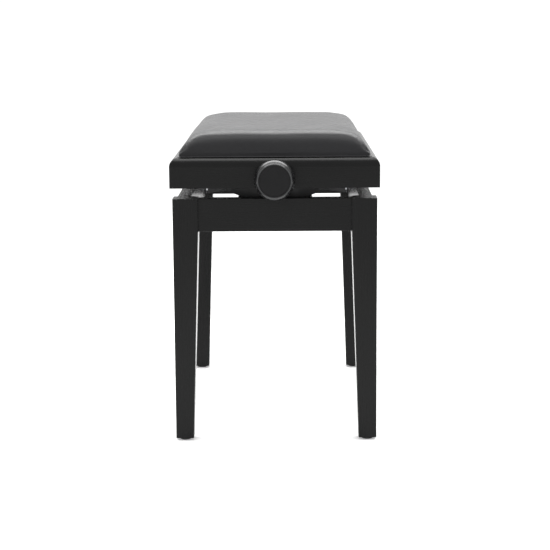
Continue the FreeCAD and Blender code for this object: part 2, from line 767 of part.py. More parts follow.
def upper_channel():
    """The front upper channel: a web and a flange turned out above it, screwed to the seat board."""
    half_length = inner_half_length - channel_end_gap
    web = block((web_inner, lift_half_width), (-half_length, half_length),
                (board_bottom - channel_height, board_bottom))
    flange = block((lift_half_width, lift_half_width + upper_channel_flange), (-half_length, half_length),
                   (flange_z, board_bottom))
    body = web.fuse(flange).removeSplitter()
    x = (web_inner - past, lift_half_width + past)
    pivot = Vector(x[0], -pivot_y, upper_pivot_z)
    body = body.cut(rod(pivot_radius + running, pivot, Vector(x[1], pivot.y, pivot.z)))
    body = body.cut(slot(x, upper_pivot_z, *slot_ends()))
    return body.cut([screw_hole(seat, way, sheet) for seat, way in channel_screw_places()])


def upper_pivot_set():
    """The shouldered bolt that carries the front inner arm on the front upper channel."""
    y, z = -pivot_y, upper_pivot_z
    nut_outer = inner_arm_x - apart - washer_thickness
    nut_inner = nut_outer - nut_thickness
    hole = pivot_radius + running
    bolt = shouldered_bolt(pivot_radius, nut_inner - bolt_end, lift_half_width, y, z)
    spacer = ring(pivot_radius + spacer_wall, hole, (inner_arm_x + arm_thickness + apart, web_inner), y, z)
    washer = ring(head_radius, hole, (nut_outer, nut_outer + washer_thickness), y, z)
    return bolt, spacer, washer, lock_nut(large_nut, hole, nut_inner, nut_outer, y, z)


def bearing_plate():
    """The right-hand bearing plate: a wide plate with a narrower toe and a flange under the board."""
    toe, wide = bearing_plate_toe_half_width, bearing_plate_half_width
    toe_z = box_bottom - bearing_plate_toe_drop
    shoulder_z = box_bottom - bearing_plate_shoulder_drop
    outline = [(-toe, toe_z), (toe, toe_z), (wide, shoulder_z), (wide, board_bottom),
               (-wide, board_bottom), (-wide, shoulder_z)]
    inner = bearing_y - sheet
    plate = prism([Vector(x, inner, z) for x, z in outline], Vector(0, sheet, 0))
    flange = block((-wide, wide), (inner - bearing_flange, inner), (flange_z, board_bottom))
    hole = rod(bush_radius + fastener_clearance, Vector(0, inner, upper_pivot_z),
               Vector(0, bearing_y, upper_pivot_z))
    body = plate.fuse(flange).removeSplitter().cut(hole)
    return body.cut([screw_hole(seat, way, sheet) for seat, way in bearing_screw_places()])


def spindle_bush():
    """The nylon bush in the right-hand bearing plate, with its flange on the inner side."""
    z = upper_pivot_z
    seat = Vector(0, bearing_y - sheet, z)
    inner_end = seat - Vector(0, bush_flange, 0)
    outer_end = Vector(0, bearing_y + bush_stand_out, z)
    body = rod(bush_radius, seat, outer_end).fuse(rod(bush_flange_radius, inner_end, seat)).removeSplitter()
    return body.cut(rod(spindle_radius + running, inner_end, outer_end))


def knob_washer():
    """The fibre washer behind the right-hand knob, glued to the end panel."""
    start = Vector(0, box_half_length, upper_pivot_z)
    return tube(knob_washer_radius, panel_hole_radius, start, start + Vector(0, knob_washer_thickness, 0))


def rounded_rectangle(half_width, half_length, radius, z):
    """A closed outline in plan, with round corners."""
    x, y = half_width - radius, half_length - radius
    corners = [(x, y, 0), (-x, y, 90), (-x, -y, 180), (x, -y, 270)]
    arcs = []
    for cx, cy, start in corners:
        turns = [math.radians(start + turn) for turn in (0, 45, 90)]
        points = [Vector(cx + radius * math.cos(turn), cy + radius * math.sin(turn), z) for turn in turns]
        arcs.append(Part.Arc(*points).toShape())
    edges = []
    for k, arc in enumerate(arcs):
        following = arcs[(k + 1) % 4]
        edges += [arc, Part.LineSegment(arc.Vertexes[-1].Point, following.Vertexes[0].Point).toShape()]
    return Part.Wire(edges)


def cushion_board():
    inset = cushion_inset + cushion_board_inset
    half_width, half_length = box_half_width - inset, box_half_length - inset
    return block((-half_width, half_width), (-half_length, half_length),
                 (box_top, box_top + cushion_board_thickness))


def cushion():
    """Foam and cover as one plain crowned solid, wrapped round its board."""
    half_width, half_length = box_half_width - cushion_inset, box_half_length - cushion_inset
    levels = [(base_setback, 0, base_corner), (0, lip_height, lip_corner),
              (edge_setback, edge_rise, edge_corner), (crown_setback, cushion_height, crown_corner)]
    wires = [rounded_rectangle(half_width - setback, half_length - setback, radius, box_top + rise)
             for setback, rise, radius in levels]
    return Part.makeLoft(wires, True, True).cut(cushion_board())


def build_seat():
    for side, x_side in SIDES.items():
        node(f"box_side_{side}", mirrored(box_side(), x_side, 1))
        node(f"upper_channel_{side}", mirrored(upper_channel(), x_side, 1))
    for end, y_side in ENDS.items():
        node(f"box_end_{end}", mirrored(box_end(), 1, y_side))
        node(f"bearing_plate_{end}", mirrored(bearing_plate(), 1, y_side))
    node("corner_blocks", *four_corners(corner_block()))
    cleat_holes = [screw_hole(seat, way, cleat_screw_length) for seat, way in cleat_screw_places()]
    node("seat_board_cleats", *[strip.cut(cleat_holes) for strip in pair(cleat())])
    node("seat_board", seat_board())
    node("lift_screws", *[screw(seat, way, sheet + flange_screw_length - hole_spare)
                          for seat, way in channel_screw_places() + bearing_screw_places()])
    node("upper_pivot_bolts_and_nuts", *[copy for piece in upper_pivot_set() for copy in pair(piece)])
    node("spindle_bushes", spindle_bush(), mirrored(spindle_bush(), 1, -1))
    node("knob_washers", knob_washer(), mirrored(knob_washer(), 1, -1))
    node("seat_board_screws",
         *[screw(seat, way, cleat_screw_length - hole_spare) for seat, way in cleat_screw_places()],
         *[screw(seat, way, cushion_screw_length - hole_spare) for seat, way in cushion_screw_places()])
    holes = [screw_hole(seat, way, cushion_screw_length) for seat, way in cushion_screw_places()]
    node("cushion_board", cushion_board().cut(holes))
    node("cushion", cushion())


# ---- spindle and knobs -------------------------------------------------------------------------
def driving_end(radius, flat, start_y, end_y):
    """A round bar on the spindle's line with one flat, which turns the knob with the spindle."""
    z = upper_pivot_z
    bar = rod(radius, Vector(0, start_y, z), Vector(0, end_y, z))
    return bar.cut(block((-radius, radius), (start_y, end_y), (z + radius - flat, z + radius)))


def spindle():
    """The spindle along the whole bench, with a trapezoidal thread towards its right-hand end."""
    z = upper_pivot_z
    body_half = box_half_length - spindle_body_stop
    body = rod(spindle_radius, Vector(0, -body_half, z), Vector(0, body_half, z))
    for end in ENDS.values():
        tip = driving_end(spindle_end_radius, spindle_flat, body_half, spindle_end)
        tip = tip.cut(rod(knob_screw_radius + fastener_clearance,
                          Vector(0, spindle_end - knob_screw_length, z), Vector(0, spindle_end, z)))
        body = body.fuse(mirrored(tip, 1, end))
    root = spindle_radius - thread_depth
    land, slope = thread_pitch * thread_land, thread_pitch * thread_slope
    outside = spindle_radius + past
    grooves = []
    first = pivot_y + crossbar_size / 2 + spindle_nut_flange + thread_run_out - thread_length
    for k in range(int(thread_length / thread_pitch)):
        start = first + k * thread_pitch
        section = [(outside, start - slope), (root, start), (root, start + land),
                   (outside, start + land + slope)]
        grooves.append(turned(section, Vector(0, 0, z), Vector(0, 1, 0)))
    return body.cut(grooves).removeSplitter()


def collar():
    """The right-hand thrust collar, just inside its bush."""
    outer = bearing_y - sheet - bush_flange - apart
    start = Vector(0, outer - collar_length, upper_pivot_z)
    end = Vector(0, outer, upper_pivot_z)
    body = tube(collar_radius, spindle_radius + running, start, end)
    middle = Vector(0, outer - collar_length / 2, upper_pivot_z)
    hole = collar_screw_radius + fastener_clearance
    return body.cut(rod(hole, middle, middle - UP * (collar_radius + past)))


def collar_screw():
    """The grub screw of the right-hand collar, let in from below."""
    middle = Vector(0, bearing_y - sheet - bush_flange - apart - collar_length / 2, upper_pivot_z)
    return rod(collar_screw_radius, middle - UP * (spindle_radius + running), middle - UP * collar_radius)


def knob_point(radius, along):
    """A point on the knob's profile: its radius, and how far it is from the knob's back."""
    return Vector(0, knob_back + along, upper_pivot_z + radius)


def knob():
    """The right-hand knob: a moulded shell with a hub, a rounded shoulder and a rimmed front."""
    widest = knob_length * knob_widest_share
    shoulder_radius = knob_radius - knob_shoulder_drop * (knob_radius - knob_rim_radius)
    front_arc = Part.Arc(knob_point(knob_radius, widest),
                         knob_point(shoulder_radius, knob_length * knob_shoulder_share),
                         knob_point(knob_rim_radius, knob_length)).toShape()
    pocket = knob_cap_radius + fastener_clearance
    floor_y = knob_length - knob_cap_recess - knob_cap_thickness
    screw_seat = spindle_end - knob_back
    hollow_end = screw_seat - knob_wall
    profile = [
        (knob_rim_radius, knob_length), (pocket, knob_length), (pocket, floor_y),
        (knob_counterbore_radius, floor_y), (knob_counterbore_radius, screw_seat),
        (0, screw_seat), (0, 0), (knob_hub_radius, 0), (knob_hub_radius, hollow_end),
        (knob_rim_radius - knob_wall, hollow_end), (knob_radius - knob_hollow_draft - knob_wall, 0),
        (knob_radius - knob_back_inset, 0), (knob_radius - knob_draft, knob_back_bevel),
        (knob_radius, widest),
    ]
    corners = [knob_point(radius, along) for radius, along in profile]
    straight = [Part.LineSegment(a, b).toShape() for a, b in zip(corners, corners[1:])]
    face = Part.Face(Part.Wire([front_arc] + straight))
    body = face.revolve(Vector(0, 0, upper_pivot_z), Vector(0, 1, 0), 360)
    bore = driving_end(spindle_end_radius + running, spindle_flat, knob_back, spindle_end)
    return body.cut(bore)


def knob_cap():
    """The disc that closes the right-hand knob, set a little below its rim."""
    front = knob_front - knob_cap_recess
    centre = Vector(0, front - knob_cap_thickness, upper_pivot_z)
    disc = rod(knob_cap_radius, centre, Vector(0, front, upper_pivot_z))
    rim = [edge for edge in disc.Edges if edge.BoundBox.YMin > front - near]
    return disc.makeFillet(knob_cap_rounding, rim)


def knob_screw():
    """The screw that holds the right-hand knob on the spindle, under the cap."""
    seat = Vector(0, spindle_end, upper_pivot_z)
    head = rod(knob_screw_head_radius, seat, seat + Vector(0, knob_screw_head_height, 0))
    point = seat - Vector(0, knob_screw_length - hole_spare, 0)
    return head.fuse(rod(knob_screw_radius, point, seat)).removeSplitter()


def build_spindle():
    node("spindle", spindle())
    for end, y_side in ENDS.items():
        node(f"knob_{end}", mirrored(knob(), 1, y_side))
        node(f"knob_cap_{end}", mirrored(knob_cap(), 1, y_side))
    node("spindle_collars", collar(), mirrored(collar(), 1, -1))
    node("collar_screws", collar_screw(), mirrored(collar_screw(), 1, -1))
    node("knob_screws", knob_screw(), mirrored(knob_screw(), 1, -1))


build_leg_frame()
build_lower_lift()
build_outer_arms()
build_inner_arms()
build_crossbar()
build_seat()
build_spindle()

os.makedirs("parts", exist_ok=True)
for name, solids in parts.items():
    Part.makeCompound(solids).exportStep(f"parts/{name}.step")
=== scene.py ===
import math

import bpy
import numpy as np
from mathutils import Matrix, Vector, noise


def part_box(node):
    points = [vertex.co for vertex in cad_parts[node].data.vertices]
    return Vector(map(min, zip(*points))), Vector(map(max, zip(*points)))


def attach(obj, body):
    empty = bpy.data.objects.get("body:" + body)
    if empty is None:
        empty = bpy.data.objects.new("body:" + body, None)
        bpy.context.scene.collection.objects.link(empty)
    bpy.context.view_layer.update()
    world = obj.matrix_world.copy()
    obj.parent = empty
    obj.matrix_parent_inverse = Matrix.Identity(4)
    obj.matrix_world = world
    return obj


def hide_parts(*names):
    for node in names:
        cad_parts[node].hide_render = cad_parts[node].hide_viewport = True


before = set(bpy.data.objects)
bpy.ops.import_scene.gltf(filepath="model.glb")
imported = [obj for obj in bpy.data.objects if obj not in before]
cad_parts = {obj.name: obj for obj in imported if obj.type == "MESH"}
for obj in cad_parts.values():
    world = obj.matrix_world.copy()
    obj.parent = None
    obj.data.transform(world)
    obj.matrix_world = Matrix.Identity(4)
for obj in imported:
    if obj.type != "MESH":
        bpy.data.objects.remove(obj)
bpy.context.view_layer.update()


# ---- Legs and rails of the leg frame, and the four sides of the seat box ----
# Solid beech, sawn and planed square, the legs tapered on their inner faces. The frame and
# the box are glued up first, then filled, sanded and sprayed with black satin lacquer, so
# the open grain still shows as very fine pores that run the length of each piece.

class Shade:
    """A number, a colour or a direction on its way through a finish, so that a finish reads as a sum."""

    def __init__(self, tree, socket=None):
        self.tree = tree
        self.socket = socket

    def node(self, kind, settings=None, inputs=None, output=0):
        """Adds a node of this kind, sets it up, feeds its sockets and gives one of its outputs."""
        added = self.tree.nodes.new(kind)
        for name, value in (settings or {}).items():
            if name == "stops":
                ramp = added.color_ramp
                while len(ramp.elements) < len(value):
                    ramp.elements.new(0.5)
                for element, (place, colour) in zip(ramp.elements, value):
                    element.position = place
                    element.color = (*colour, 1)
            else:
                setattr(added, name, value)
        for place, value in (inputs or {}).items():
            if isinstance(value, Shade):
                self.tree.links.new(value.socket, added.inputs[place])
            else:
                added.inputs[place].default_value = value
        return Shade(self.tree, added.outputs[output])

    def sum(self, operation, first, second=0.0):
        return self.node("ShaderNodeMath", {"operation": operation}, {0: first, 1: second})

    def __add__(self, other):
        return self.sum("ADD", self, other)

    def __radd__(self, other):
        return self.sum("ADD", other, self)

    def __sub__(self, other):
        return self.sum("SUBTRACT", self, other)

    def __rsub__(self, other):
        return self.sum("SUBTRACT", other, self)

    def __mul__(self, other):
        return self.sum("MULTIPLY", self, other)

    def __rmul__(self, other):
        return self.sum("MULTIPLY", other, self)

    def between(self, low, high):
        """0 up to low, 1 from high on, and an even slope between them."""
        return self.node("ShaderNodeMapRange", {"clamp": True},
                         {"Value": self, "From Min": low, "From Max": high})

    def tint(self, dark, light):
        """Dark where this is 0, light where it is 1."""
        return self.node("ShaderNodeMix", {"data_type": "RGBA"},
                         {0: self, 6: (*dark, 1) if isinstance(dark, tuple) else dark,
                          7: (*light, 1) if isinstance(light, tuple) else light}, 2)

    def stretched(self, across):
        """This place with each axis drawn out by its own share."""
        return self.node("ShaderNodeMapping", None, {"Vector": self, "Scale": across})

    def cloudy(self, scale, detail=2.0, roughness=0.5):
        """Soft blotches, so many to the metre."""
        return self.node("ShaderNodeTexNoise", None,
                         {"Vector": self, "Scale": scale, "Detail": detail, "Roughness": roughness})

    def cells(self, scale, feature="F1", randomness=1.0):
        """Small cells, so many to the metre: how far each point is from its cell's middle or edge."""
        return self.node("ShaderNodeTexVoronoi", {"feature": feature},
                         {"Vector": self, "Scale": scale, "Randomness": randomness})


def finish(name, constants):
    """A new finish: its shader with the numbers that are the same all over, and the piece's own places."""
    material = bpy.data.materials.new(name)
    material.use_nodes = True
    tree = material.node_tree
    shader = tree.nodes["Principled BSDF"]
    for socket, value in constants.items():
        shader.inputs[socket].default_value = value
    place = Shade(tree).node("ShaderNodeTexCoord", output="Object")
    return material, shader, place


def feed(shader, colour, roughness=None, height=None, depth=0.0001):
    """Joins what changes over the surface to the shader."""
    tree = shader.id_data
    tree.links.new(colour.socket, shader.inputs["Base Color"])
    if roughness:
        tree.links.new(roughness.socket, shader.inputs["Roughness"])
    if height:
        raised = height.node("ShaderNodeBump", None, {"Height": height, "Distance": depth, "Strength": 1.0})
        tree.links.new(raised.socket, shader.inputs["Normal"])


def put_on(material, *nodes):
    """Gives these pieces of the frame one finish."""
    for node in nodes:
        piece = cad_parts[node]
        piece.data.materials.clear()
        piece.data.materials.append(material)


def lacquer(name, along):
    """Black satin lacquer over wood whose grain runs along one axis."""
    material, shader, place = finish(name, {"Specular IOR Level": 0.15, "Coat Weight": 0.02,
                                            "Coat Roughness": 0.15})
    squeezed = tuple(0.035 if axis == along else 1.0 for axis in "XYZ")
    grain = place.stretched(squeezed)
    pores = grain.cloudy(1400.0, 3.0, 0.6).between(0.58, 0.72)
    bands = grain.cloudy(160.0, 2.0)
    peel = place.cloudy(420.0, 1.0)
    broad = place.cloudy(9.0, 2.0)
    colour = (bands * 0.5 + broad * 0.5).tint((0.0015, 0.0016, 0.0017), (0.0052, 0.0053, 0.0051))
    roughness = 0.20 + broad * 0.07 + pores * 0.10 + bands * 0.04
    feed(shader, colour, roughness, peel * 0.35 + bands * 0.25 - pores * 0.6, 0.00006)
    return material


put_on(lacquer("lacquer_upright", "Z"),
       "leg_front_left", "leg_front_right", "leg_rear_left", "leg_rear_right")
put_on(lacquer("lacquer_lengthwise", "Y"),
       "long_rail_front", "long_rail_rear", "box_side_front", "box_side_rear")
put_on(lacquer("lacquer_crosswise", "X"),
       "short_rail_left", "short_rail_right", "box_end_left", "box_end_right")


# ---- Beech dowels, corner blocks and cleats ----
# The dowels are fluted rod, left raw and glued half into the leg and half into the rail. The
# blocks and cleats are planed strips, glued and screwed inside the seat box and stained black.

def beech(name, along, dark, light, fleck):
    """Planed beech: pores and flecks drawn out along the grain over softer growth rings."""
    material, shader, place = finish(name, {"Specular IOR Level": 0.3})
    squeezed = tuple(0.05 if axis == along else 1.0 for axis in "XYZ")
    grain = place.stretched(squeezed)
    flecks = grain.cloudy(900.0, 2.0, 0.6).between(0.60, 0.68)
    rings = grain.cloudy(120.0, 3.0)
    broad = place.cloudy(14.0)
    wood = (rings * 0.7 + broad * 0.3).tint(dark, light)
    colour = (flecks * 0.55).tint(wood, fleck)
    feed(shader, colour, 0.50 + rings * 0.2, rings - flecks * 0.5, 0.00012)
    return material


put_on(beech("raw_beech", "X", (0.40, 0.235, 0.125), (0.60, 0.395, 0.235), (0.235, 0.115, 0.055)),
       "frame_dowels")
stain = ((0.010, 0.009, 0.008), (0.026, 0.023, 0.020), (0.005, 0.0045, 0.004))
put_on(beech("stained_block", "Z", *stain), "corner_blocks")
put_on(beech("stained_cleat", "Y", *stain), "seat_board_cleats")


# ---- Screws, bolts, nuts, clips, pins and spindle ----
# Turned and rolled steel, zinc plated in a barrel, which leaves a bright, slightly mottled
# skin with fine tumbling marks. Hanger bolts draw each leg against its corner bracket.

zinc, shader, place = finish("zinc_plate", {"Metallic": 1.0})
mottle = place.cells(260.0)
tumbled = place.cloudy(1600.0, 3.0, 0.7)
clouds = place.cloudy(60.0, 3.0)
feed(shader, (mottle * 0.5 + clouds * 0.5).tint((0.40, 0.415, 0.44), (0.70, 0.715, 0.735)),
     0.24 + clouds * 0.14 + tumbled * 0.12, tumbled * 0.6 + mottle * 0.4, 0.00004)
put_on(zinc, "corner_bracket_screws", "hanger_bolts_and_nuts", "glide_nails",
       "channel_end_screws", "lower_pivot_clips", "lower_slide_clips", "centre_pivot_bolts_and_nuts",
       "upper_pivot_bolts_and_nuts", "upper_roller_clips", "lift_screws", "seat_board_screws",
       "lower_pivot_rod", "lower_slide_rod", "knob_screws", "spindle")


# ---- Foot glides ----
# Moulded plastic discs, each held under its leg by one nail driven through a countersunk
# hole. They take on a dull, fine scratched face from the floor.

glide_plastic, shader, place = finish("glide_plastic", {"Specular IOR Level": 0.4})
scuffs = place.stretched((1.0, 0.15, 1.0)).cloudy(1800.0, 2.0, 0.7)
feed(shader, scuffs.tint((0.010, 0.010, 0.011), (0.030, 0.030, 0.031)), 0.42 + scuffs * 0.25,
     scuffs, 0.00005)
put_on(glide_plastic, "foot_glides")


# ---- Corner brackets and the lift's channels, arms, ties, crossbar, plates and collars ----
# Folded and punched mild steel, degreased and powder coated black after all the punching,
# so every edge and hole has the same fine pebbled skin, rubbed shinier where hands and
# neighbours touch it.

coated_steel, shader, place = finish("powder_coat", {"Specular IOR Level": 0.3})
pebble = place.cloudy(1500.0, 2.0, 0.55)
rubbed = place.cloudy(35.0, 3.0).between(0.45, 0.75)
feed(shader, rubbed.tint((0.0050, 0.0050, 0.0055), (0.0120, 0.0120, 0.0126)),
     0.46 - rubbed * 0.14 + pebble * 0.08, pebble, 0.00010)
put_on(coated_steel, "corner_brackets", "lower_channel_front", "lower_channel_rear",
       "upper_channel_front", "upper_channel_rear", "outer_arm_front", "outer_arm_rear",
       "inner_arm_front", "inner_arm_rear", "outer_arm_tie", "inner_arm_tie", "spindle_crossbar",
       "bearing_plate_left", "bearing_plate_right", "spindle_collars", "collar_screws")


# ---- Spindle nut ----
# Turned from brass bar and pressed into the crossbar; its face still carries the rings
# that the lathe tool left round the spindle's hole.

nut_low, nut_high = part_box("spindle_nut")
spindle_height = (nut_low.z + nut_high.z) / 2
brass, shader, place = finish("turned_brass", {"Metallic": 1.0})
centred = place.node("ShaderNodeMapping", None, {"Vector": place, "Location": (0, 0, -spindle_height),
                                                 "Scale": (1, 0, 1)})
turning = centred.node("ShaderNodeTexWave", {"wave_type": "RINGS", "rings_direction": "SPHERICAL"},
                       {"Vector": centred, "Scale": 600.0, "Distortion": 0.4})
tarnish = place.cloudy(180.0, 3.0)
feed(shader, tarnish.tint((0.46, 0.29, 0.10), (0.78, 0.56, 0.24)), 0.20 + tarnish * 0.22,
     turning * 0.6 + tarnish * 0.4, 0.00004)
put_on(brass, "spindle_nut")


# ---- Rollers and spindle bushes ----
# Moulded nylon, self-coloured and slightly waxy. The rollers run in the channels' slots and
# the flanged bushes carry the spindle in its bearing plates; both pick up a film of grease.

nylon, shader, place = finish("natural_nylon", {"Specular IOR Level": 0.45, "Subsurface Weight": 0.1})
shader.inputs["Subsurface Radius"].default_value = (0.002, 0.002, 0.0015)
grease = place.cloudy(110.0, 4.0, 0.65).between(0.48, 0.74)
flow = place.cloudy(700.0, 2.0)
feed(shader, grease.tint((0.80, 0.775, 0.70), (0.56, 0.50, 0.40)), 0.42 - grease * 0.18 + flow * 0.08,
     flow, 0.00004)
put_on(nylon, "lower_rollers", "upper_rollers", "spindle_bushes")


# ---- Seat board and cushion board ----
# Birch plywood cut with a saw. The edges show the crossed veneers as light and dark bands
# and the faces one veneer's wavy figure; the seat board's underside is stained black.

plywood, shader, place = finish("birch_plywood", {"Specular IOR Level": 0.3})
veneer = 0.0015
stain_start, stain_full = 0.0001, 0.0005
split = place.node("ShaderNodeSeparateXYZ", None, {"Vector": place}, "Z")
layer = split.sum("PINGPONG", split, veneer).between(veneer * 0.44, veneer * 0.56)
lengthwise = place.stretched((1.0, 0.06, 1.0)).cloudy(420.0, 4.0, 0.6)
crosswise = place.stretched((0.06, 1.0, 1.0)).cloudy(420.0, 4.0, 0.6)
along_veneer = lengthwise.tint((0.50, 0.36, 0.22), (0.72, 0.57, 0.39))
across_veneer = crosswise.tint((0.24, 0.145, 0.075), (0.45, 0.30, 0.17))
board_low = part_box("seat_board")[0]
stained = 1 - split.between(board_low.z + stain_start, board_low.z + stain_full)
bare = layer.tint(along_veneer, across_veneer)
feed(shader, stained.tint(bare, (0.008, 0.0078, 0.0075)), 0.55 + lengthwise * 0.2,
     lengthwise * 0.6 + layer * 0.5, 0.00015)
put_on(plywood, "seat_board", "cushion_board")


# ---- The cushion ----
# Firm foam, about 35 mm thick, on its own plywood board, under one taut skin of black
# leatherette with a fine pebbled grain. The skin is drawn down over the foam, drops in a
# short upright lip and is tucked in a little where it meets the seat box.

pad_low, pad_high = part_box("cushion")
half_width = (pad_high.x - pad_low.x) / 2 - 0.0020
half_length = (pad_high.y - pad_low.y) / 2 + 0.0004
base_height = pad_low.z
lip_height = base_height + 0.0025
shoulder = ((0.000, 0.0000), (0.004, 0.0085), (0.009, 0.0180), (0.014, 0.0250), (0.018, 0.0292),
            (0.022, 0.0321), (0.027, 0.0341), (0.034, 0.0350), (0.050, 0.0354), (0.155, 0.0360))
softness = 2.0
steps_across, steps_along = 78, 132
skirt = 0.03
skirt_end = base_height - 0.010
foam_voxel = 0.005
tacked_height = lip_height + 0.003
simulated_steps = 20
ironings = 25
furthest = 0.0015
drawn_from, drawn_full = lip_height + 0.004, lip_height + 0.020
trim_height = lip_height + 0.0035
bpy.ops.object.select_all(action="DESELECT")
bpy.ops.mesh.primitive_grid_add(x_subdivisions=steps_across, y_subdivisions=steps_along, size=2.0)
pad = bpy.context.active_object
pad.name = "cushion_cover"
for vertex in pad.data.vertices:
    x, y = vertex.co.x * half_width, vertex.co.y * half_length
    near_side = max(half_width - abs(x), 1e-6)
    near_end = max(half_length - abs(y), 1e-6)
    inward = (near_side ** -softness + near_end ** -softness) ** (-1 / softness)
    rise = float(np.interp(inward, *zip(*shoulder)))
    vertex.co = (x, y, lip_height + rise)
bpy.ops.object.mode_set(mode="EDIT")
bpy.ops.mesh.select_all(action="SELECT")
bpy.ops.mesh.extrude_region_move(TRANSFORM_OT_translate={"value": (0, 0, -skirt)})
bpy.ops.transform.resize(value=(1, 1, 0), center_override=(0, 0, skirt_end))
bpy.ops.mesh.select_all(action="SELECT")
bpy.ops.mesh.normals_make_consistent(inside=False)
bpy.ops.object.mode_set(mode="OBJECT")
foam = pad.modifiers.new("foam", "REMESH")
foam.mode = "VOXEL"
foam.voxel_size = foam_voxel
bpy.ops.object.modifier_apply(modifier=foam.name)
before = np.array([tuple(vertex.co) for vertex in pad.data.vertices])
tacked = pad.vertex_groups.new(name="tacked")
tacked.add([i for i, point in enumerate(before) if point[2] < tacked_height], 1.0, "REPLACE")
cloth = pad.modifiers.new("taut_skin", "CLOTH")
cloth.settings.quality = 6
cloth.settings.mass = 0.3
cloth.settings.tension_stiffness = 25
cloth.settings.compression_stiffness = 25
cloth.settings.bending_stiffness = 5.0
cloth.settings.use_pressure = True
cloth.settings.uniform_pressure_force = 4.0
cloth.settings.vertex_group_mass = "tacked"
cloth.settings.effector_weights.gravity = 0
for step in range(1, simulated_steps + 1):
    bpy.context.scene.frame_set(step)
bpy.ops.object.modifier_apply(modifier=cloth.name)
bpy.context.scene.frame_set(1)
after = np.array([tuple(vertex.co) for vertex in pad.data.vertices])
moved = after - before
ends = np.array([tuple(edge.vertices) for edge in pad.data.edges])
count = np.bincount(ends.ravel(), minlength=len(moved))[:, None]
for ironing in range(ironings):
    gathered = np.zeros_like(moved)
    np.add.at(gathered, ends[:, 0], moved[ends[:, 1]])
    np.add.at(gathered, ends[:, 1], moved[ends[:, 0]])
    moved = 0.5 * moved + 0.5 * gathered / count
reach = np.linalg.norm(moved, axis=1, keepdims=True)
eased = furthest * np.tanh(reach / furthest)
settled = before + moved * eased / np.maximum(reach, 1e-9)
pad.data.vertices.foreach_set("co", settled.ravel())
pad.data.update()
pad.vertex_groups.clear()
drawn = pad.vertex_groups.new(name="drawn_smooth")
for i, point in enumerate(before):
    drawn.add([i], float(np.interp(point[2], (drawn_from, drawn_full), (0, 1))), "REPLACE")
taut = pad.modifiers.new("pulled_taut", "SMOOTH")
taut.factor, taut.iterations, taut.vertex_group = 0.5, 5, drawn.name
bpy.ops.object.modifier_apply(modifier=taut.name)
pad.vertex_groups.clear()
rounded = pad.modifiers.new("rounded", "SUBSURF")
rounded.levels = rounded.render_levels = 1
bpy.ops.object.modifier_apply(modifier=rounded.name)

# The skin is trimmed just above the lip, drops to it and is tucked under; the corners stay pointed.
bpy.ops.object.mode_set(mode="EDIT")
bpy.ops.mesh.select_all(action="SELECT")
bpy.ops.mesh.bisect(plane_co=(0, 0, trim_height), plane_no=(0, 0, 1), clear_inner=True)
bpy.ops.mesh.select_all(action="DESELECT")
bpy.ops.mesh.select_non_manifold(extend=False, use_boundary=True, use_wire=False,
                                 use_multi_face=False, use_non_contiguous=False, use_verts=False)
corner_reach = 0.030
edge_band = 0.012
turn_under = ((0.0000, 0.0008, 0.0030), (0.0006, 0.0000, 0.0016), (0.0016, -0.0016, 0.0009),
              (0.0012, -0.0012, 0.0005))
for side_inward, corner_outward, below in turn_under:
    bpy.ops.mesh.extrude_edges_move(TRANSFORM_OT_translate={"value": (0, 0, -below)})
    bpy.ops.object.mode_set(mode="OBJECT")
    for vertex in pad.data.vertices:
        if not vertex.select:
            continue
        x, y = vertex.co.x, vertex.co.y
        from_side, from_end = half_width - abs(x), half_length - abs(y)
        near_corner = math.exp(-((from_side + from_end) / corner_reach) ** 2)
        outward = corner_outward * near_corner - side_inward * (1 - near_corner)
        if from_side < edge_band:
            vertex.co.x += math.copysign(outward, x)
        if from_end < edge_band:
            vertex.co.y += math.copysign(outward, y)
    bpy.ops.object.mode_set(mode="EDIT")
bpy.ops.mesh.edge_face_add()
bpy.ops.mesh.select_all(action="SELECT")
bpy.ops.mesh.normals_make_consistent(inside=False)
bpy.ops.object.mode_set(mode="OBJECT")

# Each corner has one pleat where the spare skin is folded in, and the foam gives a little
# here and there.
pleat_depth, pleat_width, pleat_length = 0.0016, 0.0030, 0.022
swell_height, swell_from_pleat, swell_width, swell_length = 0.0005, 0.0075, 0.005, 0.030
give = 0.0007
places = np.zeros(len(pad.data.vertices) * 3)
pad.data.vertices.foreach_get("co", places)
places = places.reshape(-1, 3)
facing = np.array([tuple(vertex.normal) for vertex in pad.data.vertices])
from_side, from_end = half_width - abs(places[:, 0]), half_length - abs(places[:, 1])
along_pleat, beside_pleat = (from_side + from_end) / math.sqrt(2), (from_side - from_end) / math.sqrt(2)
pleat = np.exp(-(beside_pleat / pleat_width) ** 2 - (along_pleat / pleat_length) ** 2)
swell = np.exp(-((abs(beside_pleat) - swell_from_pleat) / swell_width) ** 2
               - (along_pleat / swell_length) ** 2)
soft_spot = np.array([noise.noise(Vector((x * 14 + 3.1, y * 11 - 1.7, 0.5))) for x, y, z in places])
above_lip = (places[:, 2] > trim_height + 0.0005).astype(float)
push = (-pleat_depth * pleat + swell_height * swell + give * soft_spot) * above_lip
pad.data.vertices.foreach_set("co", (places + facing * push[:, None]).ravel())
pad.data.update()
bpy.ops.object.shade_smooth_by_angle(angle=math.radians(40))

leatherette, shader, place = finish("black_leatherette", {"Specular IOR Level": 0.07})
wander = place.cloudy(350.0, 2.0)
pebbles = place.cells(1000.0, "DISTANCE_TO_EDGE")
# The hollow creases between the grain's pebbles are painted darker, as painted shade.
creases = pebbles.between(0.0, 0.20)
fine_grain = place.cloudy(2600.0, 2.0)
stretch = place.cloudy(16.0, 2.0)
feed(shader, creases.tint((0.0125, 0.0125, 0.0132), (0.0210, 0.0210, 0.0220)),
     0.25 + stretch * 0.07 - creases * 0.04, creases * 0.7 + fine_grain * 0.15 + wander * 0.3, 0.00005)
pad.data.materials.clear()
pad.data.materials.append(leatherette)
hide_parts("cushion")
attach(pad, "seat")
